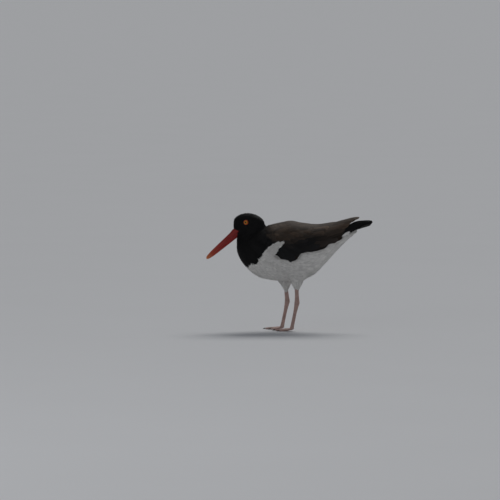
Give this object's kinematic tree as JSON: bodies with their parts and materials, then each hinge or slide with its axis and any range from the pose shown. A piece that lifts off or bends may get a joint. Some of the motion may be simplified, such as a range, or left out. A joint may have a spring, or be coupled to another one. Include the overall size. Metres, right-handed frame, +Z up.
{
  "type": "american oystercatcher",
  "caption": "Life-size wading bird at rest: black hood sunk on the shoulders, brown back, white belly, long straight red bill pointing down, standing on pale legs.",
  "frame": {"origin": "On the ground, at the centre of the bird's own box seen from above.", "axes": "+X runs from the bill towards the tail, +Z is up, and +Y is the bird's right side."},
  "size_m": [0.3684, 0.113, 0.2579],
  "materials": {
    "black_plumage": "soft near-black feathers with a faint sheen",
    "white_plumage": "soft white down and feathers, matt",
    "brown_plumage": "dark warm brown feathers with paler frayed rims",
    "wing_feathers": "dark brown feathers in tiers, nearly black in the long ones",
    "tail_feathers": "stiff black-brown feathers over white under-tail coverts",
    "bill": "smooth horn, dark red at the base to orange at the tip",
    "iris": "wet orange-yellow eye with a black pupil",
    "eye_ring": "orange-red bare skin round the eye",
    "leg_scales": "pale pinkish-brown scaled skin"
  },
  "bodies": {
    "root": {"torso": "white_plumage", "neck": "black_plumage", "head": "black_plumage", "tail": "tail_feathers", "bill_upper": "bill", "bill_lower": "bill", "mantle": "brown_plumage", "eye_left": "iris", "eye_right": "iris", "eye_ring_left": "eye_ring", "eye_ring_right": "eye_ring", "wing_left": "wing_feathers", "wing_right": "wing_feathers", "thigh_left": "white_plumage", "thigh_right": "white_plumage", "shank_left": "leg_scales", "shank_right": "leg_scales", "foot_left": "leg_scales", "foot_right": "leg_scales"}
  },
  "joints": []
}
